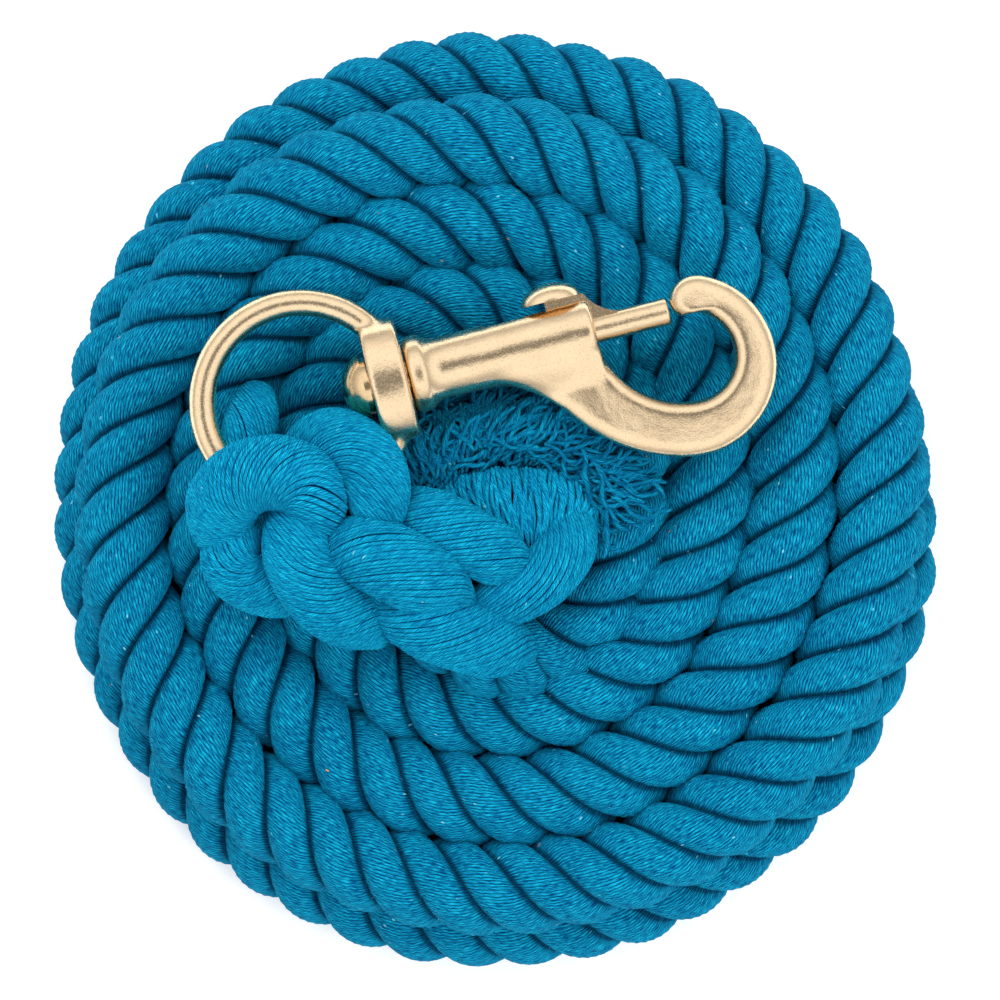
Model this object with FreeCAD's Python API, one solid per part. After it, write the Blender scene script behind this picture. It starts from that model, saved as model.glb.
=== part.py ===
import FreeCAD, Part
import math
import os

# A cotton lead rope, stored as a flat two-layer coil that lies on Z = 0.
# Its end is spliced round the ring of a brass bolt snap, which lies on top of the coil.
# Millimetres, +Z up. The origin is the middle of the coil's underside.

V = FreeCAD.Vector
os.makedirs("parts", exist_ok=True)

# ---- rope and coil ---------------------------------------------------------
ROPE_D = 16.0            # three-strand rope, across the strands
LAYER_RISE = 14.5        # the upper layer nests a little into the lower one
LOWER_RX = 78.0          # lower layer, half width and half depth
LOWER_RY = 82.2
UPPER_RX = 75.3          # upper layer
UPPER_RY = 74.0
UPPER_X = 1.1
UPPER_Y = -3.0
COIL_EDGE = 6.5          # rounding of the coil's rims
END_KNOT_R = 10.4        # crown knot on the rope's far end, in the middle of the coil
END_KNOT_BITE = 0.5      # how far the knot presses into the innermost turn

COIL_TOP = LAYER_RISE + ROPE_D

# ---- snap, along its own axis ----------------------------------------------
# Positions along the snap's axis (s) start at the middle of the eye's boss.
SNAP_X = -18.4
SNAP_Y = 20.8
SNAP_LIFT = 11.0         # the swivel axis above the coil
SNAP_ANGLE = 14.0        # the axis turned from +X, seen from above

RING_R = 17.6            # ring, to the middle of its wire
RING_WIRE_R = 2.4
RING_SINK = 1.8          # how far the ring's own circle runs into the boss
BOSS_BACK = 3.4          # boss of the eye, each way along the axis
BOSS_FRONT = 3.3
BOSS_HALF_WIDTH = 10.8
BOSS_HALF_HEIGHT = 7.5
BOSS_ROUND = 0.8

SHANK_R = 2.92           # swivel rivet
SHANK_CLEAR = 0.08       # running fit in the boss
THRUST_GAP = 0.15        # end play of the swivel, each side
WASHER_R = 5.0
WASHER_T = 0.9
HEAD_R = 5.9
HEAD_H = 4.1
SHANK_IN_BODY = 6.5      # length pressed into the snap's body

FLANGE_R = 6.9
FLANGE_T = 3.9
BARREL_R = 5.4           # at the flange
BARREL_FRONT_R = 5.9     # at the mouth
BARREL_LEN = 30.0
BODY_HALF_T = 4.2        # half the thickness of the hook
HOOK_ROUND = 2.6

HOOK_AHEAD = 13.95       # centre of the hook's outer bow, ahead of the barrel's mouth
HOOK_N = -10.0
HOOK_OUTER_R = 16.1
EYE_R = 7.9              # bow of the opening
EYE_DS = 1.1             # its centre from the outer bow's centre
EYE_DN = 1.35
BOW_FROM = 258.0         # degrees round the outer bow, from the web to the tip
BOW_TO = 66.0
EYE_FROM = 66.0          # degrees round the opening's bow
EYE_TO = 268.0
TIP_TOP = 4.2            # hook's tip, across the axis
TIP_LOW = -1.3
TIP_BACK = 0.2           # tip's rear face, back from the bow's centre
TIP_TOP_IN = 1.6         # its corners, forward of the rear face
TIP_LOW_IN = 1.2
WEB_START = 9.0          # the web leaves the barrel this far ahead of the flange
WEB_SINK = 0.8           # and starts this far inside it
WEB_TURN_BACK = 7.6      # the web's underside turns here, back from the mouth
WEB_TURN_DROP = 8.4      # and below the barrel
WEB_TOP_BACK = 3.0       # the plate's top edge, inside the barrel
WEB_TOP_FRONT = 1.5
MOUTH_WALL = 1.2         # metal below the bore at the mouth
MOUTH_ROUND = 0.9
FLANGE_ROUND = 1.35

BOLT_R = 2.45
BOLT_CLEAR = 0.05
BOLT_IN_BARREL = 11.4    # guided length at rest
BOLT_TIP_GAP = 0.35
BOLT_TRAVEL = 11.0
NECK_BACK = 7.6          # neck of the thumb button, back from the barrel's mouth
NECK_TOP_BACK = 0.6      # its front edge at the button, back from the mouth
NECK_MID = (1.3, 4.1)    # the curve down to the bolt passes here, ahead of the mouth
NECK_TOE = (4.6, 2.3)    # and meets the bolt here
BOLT_ROUND = 0.5
NECK_HALF_T = 1.5
SLOT_CLEAR = 0.25
BUTTON_HALF_LEN = 5.4    # domed button, along the axis and across it
BUTTON_HALF_WID = 4.4
BUTTON_H = 3.2
BUTTON_GAP = 0.8         # button's underside above the barrel
BUTTON_BACK = 6.4        # its middle, back from the barrel's mouth
SPRING_R = 2.3
SPRING_WIRE = 0.6

# ---- the eye's motion ------------------------------------------------------
LIFT_MAX = 60.0          # degrees the ring rocks up in the rope's eye
LIFT_STEPS = 9
HINGE_SHARE = 0.5739     # hinge line below the ring's centre, as a share of the ring's radius
ROPE_CLEAR = 0.45        # round everything that swings past the rope
SWIVEL_SWEEP_R = 11.0    # space kept round the snap's axis as it turns over

# ---- worked-out values -----------------------------------------------------
AXIS_Z = COIL_TOP + SNAP_LIFT
TURN = math.radians(SNAP_ANGLE)
SNAP_DIR = V(math.cos(TURN), math.sin(TURN), 0)
SNAP_AT = V(SNAP_X, SNAP_Y, AXIS_Z)
RING_S = RING_SINK - RING_R
RING_AT = SNAP_AT + SNAP_DIR * RING_S
HINGE_AT = V(RING_AT.x, RING_AT.y - RING_R * HINGE_SHARE, AXIS_Z)
FLANGE_BACK = BOSS_FRONT + THRUST_GAP
BARREL_BACK = FLANGE_BACK + FLANGE_T
BARREL_FRONT = BARREL_BACK + BARREL_LEN
SHANK_END = FLANGE_BACK + SHANK_IN_BODY
HOOK_S = BARREL_FRONT + HOOK_AHEAD
HOOK_TIP_S = HOOK_S - TIP_BACK
BOLT_TIP = HOOK_TIP_S - BOLT_TIP_GAP
BOLT_TAIL = BARREL_FRONT - BOLT_IN_BARREL
BORE_R = BOLT_R + BOLT_CLEAR
SLOT_BACK = BARREL_FRONT - NECK_BACK - BOLT_TRAVEL - SLOT_CLEAR
BUTTON_N = BARREL_FRONT_R + BUTTON_GAP
ALONG = V(1, 0, 0)


def export(name, shape):
    """Write one solid, or one group of solids, under its node's name."""
    shape.exportStep("parts/" + name + ".step")
    print(name, "valid", shape.isValid(), "solids", len(shape.Solids), "mm3", round(shape.Volume, 1))


def place(shape):
    """Carry a shape from the snap's own axes (s, n, up) to where the snap lies."""
    out = shape.copy()
    lie = FreeCAD.Placement(SNAP_AT, FreeCAD.Rotation(V(0, 0, 1), SNAP_ANGLE))
    out.Placement = lie.multiply(out.Placement)
    return out


def rod(radius, start, end, radius_end=None):
    """A round bar, or a cone, along the snap's axis."""
    if radius_end is None:
        return Part.makeCylinder(radius, end - start, V(start, 0, 0), ALONG)
    return Part.makeCone(radius, radius_end, end - start, V(start, 0, 0), ALONG)


def ellipse_prism(centre, rx, ry, low, high):
    """An upright prism on an ellipse whose longer half-axis is found here."""
    if ry > rx:
        curve = Part.Ellipse(V(centre.x, centre.y + ry, low), V(centre.x + rx, centre.y, low),
                             V(centre.x, centre.y, low))
    else:
        curve = Part.Ellipse(V(centre.x + rx, centre.y, low), V(centre.x, centre.y + ry, low),
                             V(centre.x, centre.y, low))
    face = Part.Face(Part.Wire([curve.toShape()]))
    return face.extrude(V(0, 0, high - low))


# ---- snap ------------------------------------------------------------------
def make_swivel_eye(grow=0.0):
    """Ring and boss in one casting; grow swells it for the clearance round it."""
    half_open = math.degrees(math.acos(min(0.99, -RING_S / RING_R)))
    ring = Part.makeTorus(RING_R, RING_WIRE_R + grow, V(0, 0, 0), V(0, 0, 1), -180, 180,
                          360 - 2 * half_open)
    ring.rotate(V(0, 0, 0), V(0, 0, 1), half_open)
    ring.translate(V(RING_S, 0, 0))
    boss_curve = Part.Ellipse(V(0, BOSS_HALF_WIDTH + grow, 0), V(0, 0, BOSS_HALF_HEIGHT + grow), V(0, 0, 0))
    boss_face = Part.Face(Part.Wire([boss_curve.toShape()]))
    boss = boss_face.extrude(V(BOSS_BACK + BOSS_FRONT + 2 * grow, 0, 0))
    boss.translate(V(-BOSS_BACK - grow, 0, 0))
    if grow == 0.0:
        boss = boss.makeFillet(BOSS_ROUND, boss.Edges)
        body = boss.fuse(ring)
        return body.cut(rod(SHANK_R + SHANK_CLEAR, -BOSS_BACK - 9, BOSS_FRONT + 9)).removeSplitter()
    return boss.fuse(ring)


def make_rivet():
    """Headed pin: holds the eye on and closes the back of the bolt's bore."""
    head_back = -BOSS_BACK - THRUST_GAP - WASHER_T
    dome_r = (HEAD_R ** 2 + HEAD_H ** 2) / (2 * HEAD_H)
    ball = Part.makeSphere(dome_r, V(head_back - HEAD_H + dome_r, 0, 0))
    head = ball.common(rod(HEAD_R + 1, head_back - HEAD_H - 1, head_back))
    return head.fuse(rod(SHANK_R, head_back, SHANK_END)).removeSplitter()


def make_washer():
    back = -BOSS_BACK - THRUST_GAP - WASHER_T
    return rod(WASHER_R, back, back + WASHER_T).cut(rod(SHANK_R, back - 1, back + WASHER_T + 1))


def leaving_arc(start, direction, end):
    """The arc that leaves start in a direction and ends at end, and its direction there."""
    side = V(-direction.y, direction.x, 0)
    chord = start - end
    r = -chord.dot(chord) / (2 * chord.dot(side))
    centre = start + side * r
    middle = centre + ((start + end) / 2 - centre).normalize() * abs(r)
    out = end - centre
    heading = V(-out.y, out.x, 0) * (1 / r)
    return Part.Arc(start, middle, end).toShape(), heading


def hook_outline():
    """The hook and the web that joins it to the barrel, in the plane of s and n."""
    def on_circle(centre, r, angle):
        a = math.radians(angle)
        return centre + V(math.cos(a), math.sin(a), 0) * r

    def clockwise(angle):
        a = math.radians(angle)
        return V(math.sin(a), -math.cos(a), 0)

    bow = V(HOOK_S, HOOK_N, 0)
    eye = bow + V(EYE_DS, EYE_DN, 0)
    bow_start = on_circle(bow, HOOK_OUTER_R, BOW_FROM)
    bow_end = on_circle(bow, HOOK_OUTER_R, BOW_TO)
    eye_start = on_circle(eye, EYE_R, EYE_FROM)
    eye_end = on_circle(eye, EYE_R, EYE_TO)
    web_start = V(BARREL_BACK + WEB_START, WEB_SINK - BARREL_R, 0)
    web_turn = V(BARREL_FRONT - WEB_TURN_BACK, -BARREL_R - WEB_TURN_DROP, 0)
    tip_high = V(HOOK_TIP_S + TIP_TOP_IN, TIP_TOP, 0)
    tip_low = V(HOOK_TIP_S + TIP_LOW_IN, TIP_LOW, 0)
    mouth_low = V(BARREL_FRONT, -BORE_R - MOUTH_WALL, 0)
    mouth_high = V(BARREL_FRONT, WEB_TOP_FRONT, 0)
    back_high = V(BARREL_BACK + WEB_START, WEB_TOP_BACK, 0)
    web, heading = leaving_arc(bow_start, clockwise(BOW_FROM), web_turn)
    web_back, heading = leaving_arc(web_turn, heading, web_start)
    brow, heading = leaving_arc(bow_end, clockwise(BOW_TO) * -1, tip_high)
    nose, heading = leaving_arc(tip_high, heading, tip_low)
    throat, heading = leaving_arc(eye_end, clockwise(EYE_TO), mouth_low)
    edges = [
        Part.Arc(bow_start, on_circle(bow, HOOK_OUTER_R, -10), bow_end).toShape(),
        brow,
        nose,
        Part.LineSegment(tip_low, eye_start).toShape(),
        Part.Arc(eye_start, on_circle(eye, EYE_R, -10), eye_end).toShape(),
        throat,
        Part.LineSegment(mouth_low, mouth_high).toShape(),
        Part.LineSegment(mouth_high, back_high).toShape(),
        Part.LineSegment(back_high, web_start).toShape(),
        web_back,
        web,
    ]
    return Part.Wire(edges)


def make_snap_body():
    """Barrel, flange and hook in one casting, bored and slotted for the bolt."""
    plate = Part.Face(hook_outline()).extrude(V(0, 0, 2 * BODY_HALF_T))
    plate.translate(V(0, 0, -BODY_HALF_T))
    rims = [e for e in plate.Edges if e.BoundBox.ZLength < 0.01 and e.Curve.TypeId == "Part::GeomCircle"]
    plate = plate.makeFillet(HOOK_ROUND, rims)
    flange = rod(FLANGE_R, FLANGE_BACK, BARREL_BACK)
    flange = flange.makeFillet(FLANGE_ROUND, [e for e in flange.Edges if len(e.Vertexes) == 1])
    barrel = rod(BARREL_R, BARREL_BACK - 0.5, BARREL_FRONT, BARREL_FRONT_R)
    mouth = [e for e in barrel.Edges if e.BoundBox.XLength < 0.01 and e.BoundBox.XMin > BARREL_FRONT - 0.01]
    barrel = barrel.makeFillet(MOUTH_ROUND, mouth)
    body = barrel.fuse(flange).fuse(plate)
    body = body.cut(rod(SHANK_R, FLANGE_BACK - 1, SHANK_END))
    body = body.cut(rod(BORE_R, SHANK_END - 0.5, BARREL_FRONT + 1))
    slot_t = NECK_HALF_T + SLOT_CLEAR
    slot = Part.makeBox(BARREL_FRONT + 1 - SLOT_BACK, BARREL_FRONT_R + 2, 2 * slot_t,
                        V(SLOT_BACK, 0, -slot_t))
    return body.cut(slot).removeSplitter()


def make_bolt():
    """Sliding rod with the neck that carries the thumb button through the slot."""
    shaft = rod(BOLT_R, BOLT_TAIL, BOLT_TIP)
    shaft = shaft.makeFillet(BOLT_ROUND, [e for e in shaft.Edges if len(e.Vertexes) == 1])
    low_back = V(BARREL_FRONT - NECK_BACK, 0, 0)
    high_back = V(BARREL_FRONT - NECK_BACK, BUTTON_N, 0)
    high_front = V(BARREL_FRONT - NECK_TOP_BACK, BUTTON_N, 0)
    middle = V(BARREL_FRONT + NECK_MID[0], NECK_MID[1], 0)
    toe = V(BARREL_FRONT + NECK_TOE[0], NECK_TOE[1], 0)
    low_front = V(BARREL_FRONT + NECK_TOE[0], 0, 0)
    side = Part.Wire([
        Part.LineSegment(low_back, high_back).toShape(),
        Part.LineSegment(high_back, high_front).toShape(),
        Part.Arc(high_front, middle, toe).toShape(),
        Part.LineSegment(toe, low_front).toShape(),
        Part.LineSegment(low_front, low_back).toShape(),
    ])
    neck = Part.Face(side).extrude(V(0, 0, 2 * NECK_HALF_T))
    neck.translate(V(0, 0, -NECK_HALF_T))
    return shaft.fuse(neck).removeSplitter()


def make_button():
    """Domed oval pad on top of the neck."""
    dome = Part.makeSphere(1.0, V(0, 0, 0), V(0, 1, 0), 0, 90, 360)
    stretch = FreeCAD.Matrix()
    stretch.scale(V(BUTTON_HALF_LEN, BUTTON_H, BUTTON_HALF_WID))
    dome = dome.transformGeometry(stretch)
    dome.translate(V(BARREL_FRONT - BUTTON_BACK, BUTTON_N, 0))
    return dome


def make_spring():
    """The spring's outer sleeve shape, between the rivet's end and the bolt's tail."""
    return rod(SPRING_R, SHANK_END, BOLT_TAIL).cut(rod(SPRING_R - SPRING_WIRE, SHANK_END - 1, BOLT_TAIL + 1))


# ---- rope ------------------------------------------------------------------
def tube(name, points, radius):
    """A round bar along straight runs joined by tangent arcs; prints its tightest arc."""
    pts = [V(*p) for p in points]
    edges = []
    last = pts[0]
    tightest = 1e9
    for before, corner, after in zip(pts, pts[1:], pts[2:]):
        run = min((corner - before).Length, (after - corner).Length)
        into = (corner - before).normalize()
        out = (after - corner).normalize()
        half_turn = into.getAngle(out) / 2
        arc_r = 0.45 * run / math.tan(half_turn)
        tightest = min(tightest, arc_r)
        start = corner - into * (0.45 * run)
        end = corner + out * (0.45 * run)
        inward = (out - into).normalize()
        middle = corner + inward * (arc_r * (1 / math.cos(half_turn) - 1))
        edges.append(Part.LineSegment(last, start).toShape())
        edges.append(Part.Arc(start, middle, end).toShape())
        last = end
    edges.append(Part.LineSegment(last, pts[-1]).toShape())
    path = Part.Wire(edges)
    profile = Part.Wire([Part.Circle(pts[0], pts[1] - pts[0], radius).toShape()])
    solid = path.makePipeShell([profile], True, False)
    share = solid.Volume / (math.pi * radius ** 2 * path.Length)
    print(name, "tightest arc", round(tightest, 1), "length", round(path.Length, 1),
          "volume share", round(share, 3))
    return solid


def make_coil():
    """Two layers of turns as one closed shape, with a well in the middle for the end knot."""
    lower = ellipse_prism(V(0, 0, 0), LOWER_RX, LOWER_RY, 0, ROPE_D)
    lower = lower.makeFillet(COIL_EDGE, [e for e in lower.Edges if len(e.Vertexes) == 1])
    upper = ellipse_prism(V(UPPER_X, UPPER_Y, 0), UPPER_RX, UPPER_RY, LAYER_RISE / 2, COIL_TOP)
    rim = [e for e in upper.Edges if abs(e.BoundBox.ZMin - COIL_TOP) < 1e-6]
    upper = upper.makeFillet(COIL_EDGE, rim)
    coil = lower.fuse(upper)
    well = Part.makeCylinder(END_KNOT_R - END_KNOT_BITE, COIL_TOP + 2, V(0, 0, -1))
    return coil.cut(well).removeSplitter()


def make_end_knot():
    """The far end's crown knot, a squat ball that stands on the ground plane."""
    return Part.makeSphere(END_KNOT_R, V(0, 0, END_KNOT_R))


# Heights below are above the coil's top, so the splice follows the coil.
def above(points):
    return [(x, y, COIL_TOP + h) for x, y, h in points]


STRAND_R = 5.4
SPLICE_ROUTE = [(17.1, -19.8, -8.0), (9.1, -27.2, -6.5), (-2.5, -27.0, -1.0), (-16.7, -17.6, 6.5),
                (-31.0, -9.6, 10.5), (-42.0, -3.6, 11.0)]
STRAND_ROUTES = {
    "crown_strand_over": [(-51.0, -8.0, 12.0), (-51.6, -1.0, 17.0), (-45.4, 5.2, 19.0),
                          (-36.0, 6.0, 18.8), (-29.6, 0.6, 16.5), (-28.2, -4.6, 12.5)],
    "crown_strand_left": [(-49.6, -4.6, 13.5), (-48.8, -12.2, 12.0), (-41.5, -16.2, 9.0), (-33.0, -15.6, 6.5)],
    "crown_strand_front": [(-40.2, -5.6, 18.0), (-34.4, -13.4, 16.5), (-27.0, -19.8, 12.5), (-17.6, -23.6, 8.0)],
    "eye_bight": [(-44.2, 2.0, 6.4), (-43.9, 10.6, 7.4), (-42.9, 17.4, 3.4)],
    "tuck_strand_ring": [(-33.0, 9.6, 10.5), (-26.4, 9.2, 14.5), (-21.8, 3.4, 17.5), (-20.6, -4.0, 14.0)],
    "tuck_strand_top": [(-27.4, -8.4, 16.5), (-17.4, -10.6, 17.0), (-8.6, -15.6, 11.5)],
    "tuck_strand_inner": [(-16.4, -1.0, 11.5), (-5.4, -5.8, 11.5), (3.8, -9.8, 7.0)],
    "tuck_strand_outer": [(-18.0, -19.6, 11.5), (-7.2, -24.4, 8.5), (3.0, -27.2, 2.5)],
    "tuck_strand_tail": [(14.6, -1.6, 1.5), (13.8, -9.0, 4.0), (6.6, -15.6, 6.0), (-4.0, -18.8, 7.5)],
}
THIN_STRAND_R = 4.6
TUFT = (3.9, -0.2, 1.0, 15.0, 8.4, 6.0)      # middle, height above the coil, half sizes
BRUSH = (4.4, 11.6, 0.6, 13.5, 8.2, 5.6)


def make_lump(x, y, h, rx, ry, rz):
    """A soft cushion shape: a ball stretched along each axis, cut level at the coil's top."""
    ball = Part.makeSphere(1.0)
    stretch = FreeCAD.Matrix()
    stretch.scale(V(rx, ry, rz))
    ball = ball.transformGeometry(stretch)
    ball.translate(V(x, y, COIL_TOP + h))
    floor = Part.makeBox(4 * rx, 4 * ry, 4 * rz, V(x - 2 * rx, y - 2 * ry, COIL_TOP))
    return ball.common(floor)


def swung_space():
    """Everything that the eye, washer and rivet pass through as the ring rocks up."""
    head_back = -BOSS_BACK - THRUST_GAP - WASHER_T
    moving = make_swivel_eye(ROPE_CLEAR)
    moving = moving.fuse(rod(HEAD_R + ROPE_CLEAR, head_back - HEAD_H - ROPE_CLEAR, 0))
    moving = moving.fuse(rod(FLANGE_R + ROPE_CLEAR, 0, BARREL_BACK + ROPE_CLEAR))
    at_rest = place(moving)
    poses = []
    for step in range(LIFT_STEPS + 1):
        pose = at_rest.copy()
        pose.rotate(HINGE_AT, ALONG, LIFT_MAX * step / LIFT_STEPS)
        poses.append(pose)
    return poses


def clear_of(shape, spaces):
    """The shape without the swung space, keeping its largest piece."""
    for space in spaces:
        if shape.BoundBox.intersect(space.BoundBox):
            shape = shape.cut(space)
    return max(shape.Solids, key=lambda s: s.Volume)


swivel_eye = place(make_swivel_eye())
export("swivel_eye", swivel_eye)
export("swivel_rivet", place(make_rivet()))
export("swivel_washer", place(make_washer()))
export("snap_body", place(make_snap_body()))
export("bolt", place(make_bolt()))
export("thumb_button", place(make_button()))
export("bolt_spring", place(make_spring()))

coil = make_coil()
export("rope_coil", coil)
export("rope_end_knot", make_end_knot())

spaces = swung_space()
splice = tube("splice_core", above(SPLICE_ROUTE), ROPE_D / 2)
export("splice_core", clear_of(splice, spaces))
for strand, route in STRAND_ROUTES.items():
    strand_r = THIN_STRAND_R if strand == "eye_bight" else STRAND_R
    export(strand, clear_of(tube(strand, above(route), strand_r), spaces))
swivel_space = place(rod(SWIVEL_SWEEP_R, 0, HOOK_S + HOOK_OUTER_R + 3))
export("tail_tuft", clear_of(make_lump(*TUFT), [swivel_space]))
export("tail_brush", clear_of(make_lump(*BRUSH), [swivel_space]))

print("axis height", AXIS_Z, "hinge", [round(c, 3) for c in HINGE_AT])
print("snap at", [round(c, 3) for c in SNAP_AT], "direction", [round(c, 4) for c in SNAP_DIR])
print("bolt throat", round(HOOK_TIP_S - BARREL_FRONT, 2))
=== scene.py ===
# %% [markdown]
# A cotton lead rope lies coiled in two layers, with a brass bolt snap spliced to its end.
# The design of every hard part is fixed already, so this file starts by loading it as a frame.
# All that follows only adds looks: rope strands, yarns, cast brass, and light.

# %% Load the frame
import math
import random
from functools import partial

import bmesh
import bpy
import numpy as np
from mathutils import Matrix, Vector


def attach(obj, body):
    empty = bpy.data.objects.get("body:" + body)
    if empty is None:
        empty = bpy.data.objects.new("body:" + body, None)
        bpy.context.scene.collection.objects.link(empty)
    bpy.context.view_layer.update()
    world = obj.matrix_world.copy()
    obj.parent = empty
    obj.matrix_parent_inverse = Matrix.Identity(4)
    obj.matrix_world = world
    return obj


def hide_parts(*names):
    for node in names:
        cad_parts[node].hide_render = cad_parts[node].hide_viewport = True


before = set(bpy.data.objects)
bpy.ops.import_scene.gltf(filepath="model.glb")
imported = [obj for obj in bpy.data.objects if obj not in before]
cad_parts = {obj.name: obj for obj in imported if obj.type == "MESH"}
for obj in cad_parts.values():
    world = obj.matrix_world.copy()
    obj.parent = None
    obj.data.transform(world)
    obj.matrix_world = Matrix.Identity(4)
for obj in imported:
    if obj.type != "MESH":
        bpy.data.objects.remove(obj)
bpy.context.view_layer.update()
MM = 0.001
UP = Vector((0, 0, 1))
rng = random.Random(7)

# %% [markdown]
# The piece is looked at from straight above, from far off with a long lens, so that near and far
# parts of the coil come out at almost the same scale. A lens this long also keeps the sides of
# the strands hidden, as a person sees them from above.

# %% Camera
CAMERA_HEIGHT = 2.0
COIL_MID = 0.020                 # height of the middle of the coil
VIEW_WIDTH = 0.178               # metres across the view, at that height
VIEW_MID = (0.0011, -0.0002)
SENSOR = 36.0                    # millimetres across a full-size sensor
camera_data = bpy.data.cameras.new("camera")
camera_data.sensor_width = SENSOR
camera_data.lens = SENSOR * (CAMERA_HEIGHT - COIL_MID) / VIEW_WIDTH
camera_data.clip_end = 10.0
camera = bpy.data.objects.new("camera", camera_data)
camera.location = (*VIEW_MID, CAMERA_HEIGHT)
bpy.context.scene.collection.objects.link(camera)
bpy.context.scene.camera = camera
print("lens", round(camera_data.lens, 1), "mm")

# %% [markdown]
# The materials and the light tent are graphs of small shader nodes. With bare calls each node
# takes several lines, which hides what the graph does. These helpers make one node in one line.

# %% Node helpers
def add_node(tree, kind, **settings):
    """Make a node and set its plain settings."""
    node = tree.nodes.new(kind)
    for key, value in settings.items():
        setattr(node, key, value)
    return node


def set_sockets(node, values):
    """Set constant values on a node's input sockets, by their names."""
    for label, value in values.items():
        node.inputs[label].default_value = value


def math_node(tree, operation, a, b=None, c=None):
    """A Math node; each argument is a number or another node's output."""
    node = add_node(tree, "ShaderNodeMath", operation=operation)
    for slot, value in enumerate((a, b, c)):
        if value is None:
            continue
        if isinstance(value, (int, float)):
            node.inputs[slot].default_value = value
        else:
            tree.links.new(value, node.inputs[slot])
    return node.outputs[0]


def clamped(tree, value):
    """The value, kept between 0 and 1."""
    node = add_node(tree, "ShaderNodeClamp")
    tree.links.new(value, node.inputs[0])
    return node.outputs[0]


def new_group(name, inputs, outputs):
    """A shader node group with number inputs (name, default) and number outputs."""
    group = bpy.data.node_groups.new(name, "ShaderNodeTree")
    for label, value in inputs:
        socket = group.interface.new_socket(label, in_out="INPUT", socket_type="NodeSocketFloat")
        socket.default_value = value
    for label in outputs:
        group.interface.new_socket(label, in_out="OUTPUT", socket_type="NodeSocketFloat")
    start = group.nodes.new("NodeGroupInput")
    end = group.nodes.new("NodeGroupOutput")
    print("group", name, "puts out", ", ".join(outputs))
    return group, start, end


# %% [markdown]
# Polished brass is only as good as what it reflects. A light tent does it: bright all round,
# with a dimmer patch overhead where the camera looks in. That patch draws the dark line along the
# crest of every round bar. The tent is the world's background, shaded by direction.

# %% Light tent
TENT_STRENGTH = 1.16
LEVEL_GREY = (0.32, 0.32, 0.33, 1)   # the tent's grey in a level direction
PATCH_GREY = (0.16, 0.16, 0.16, 1)   # and straight up, in the middle of the dim patch
# Between the two: how steeply a direction points up, from 0 to 1, and the tent's grey there.
TENT_GREYS = ((0.30, 0.60), (0.60, 1.0), (0.945, 1.0), (0.968, 0.22))
world = bpy.data.worlds.new("tent")
bpy.context.scene.world = world
world.use_nodes = True
tent = world.node_tree
tent.nodes.clear()
direction = add_node(tent, "ShaderNodeTexCoord")
direction_xyz = add_node(tent, "ShaderNodeSeparateXYZ")
greys = add_node(tent, "ShaderNodeValToRGB")
glow = add_node(tent, "ShaderNodeBackground")
world_out = add_node(tent, "ShaderNodeOutputWorld")
tent.links.new(direction.outputs["Generated"], direction_xyz.inputs[0])
tent.links.new(direction_xyz.outputs["Z"], greys.inputs[0])
tent.links.new(greys.outputs[0], glow.inputs[0])
tent.links.new(glow.outputs[0], world_out.inputs[0])
stops = greys.color_ramp.elements
stops[0].color = LEVEL_GREY
stops[1].color = PATCH_GREY
for steepness, level in TENT_GREYS:
    stops.new(steepness).color = (level, level, level, 1)
set_sockets(glow, {"Strength": TENT_STRENGTH})
bpy.context.scene.view_settings.view_transform = "Standard"
print("tent greys", [(round(stop.position, 3), round(stop.color[0], 2)) for stop in stops])

# %% [markdown]
# Two large soft lamps shade the rope. The brass mirrors the tent alone, as it would in a real one,
# because a lamp's mirror image would burn a white square into it. The ground is a pale sheet that
# glows a little, so that the shadow of the coil stays soft.

# %% Lamps and ground
FLOOR_REACH = 3                  # metres from the middle to each side


def soft_lamp(name, at, size, watts):
    """A square soft light that looks at the middle of the coil."""
    data = bpy.data.lights.new(name, "AREA")
    data.size = size
    data.energy = watts
    lamp = bpy.data.objects.new(name, data)
    lamp.location = at
    lamp.visible_glossy = False
    lamp.rotation_euler = (Vector((0, 0, COIL_MID)) - Vector(at)).to_track_quat("-Z", "Y").to_euler()
    bpy.context.scene.collection.objects.link(lamp)
    print(name, "lamp,", watts, "W")


soft_lamp("key", (-0.45, 0.80, 0.95), 0.60, 7.0)
soft_lamp("fill", (0.75, -0.55, 0.85), 0.7, 6.0)

floor_mesh = bpy.data.meshes.new("floor")
floor_corners = [(x * FLOOR_REACH, y * FLOOR_REACH, 0) for x, y in ((-1, -1), (1, -1), (1, 1), (-1, 1))]
floor_mesh.from_pydata(floor_corners, [], [(0, 1, 2, 3)])
floor = bpy.data.objects.new("floor", floor_mesh)
bpy.context.scene.collection.objects.link(floor)
pale_floor = bpy.data.materials.new("pale_floor")
pale_floor.use_nodes = True
set_sockets(pale_floor.node_tree.nodes["Principled BSDF"], {
    "Base Color": (0.93, 0.93, 0.93, 1), "Roughness": 0.9,
    "Emission Color": (1, 1, 1, 1), "Emission Strength": 0.22})
floor.data.materials.append(pale_floor)
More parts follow.
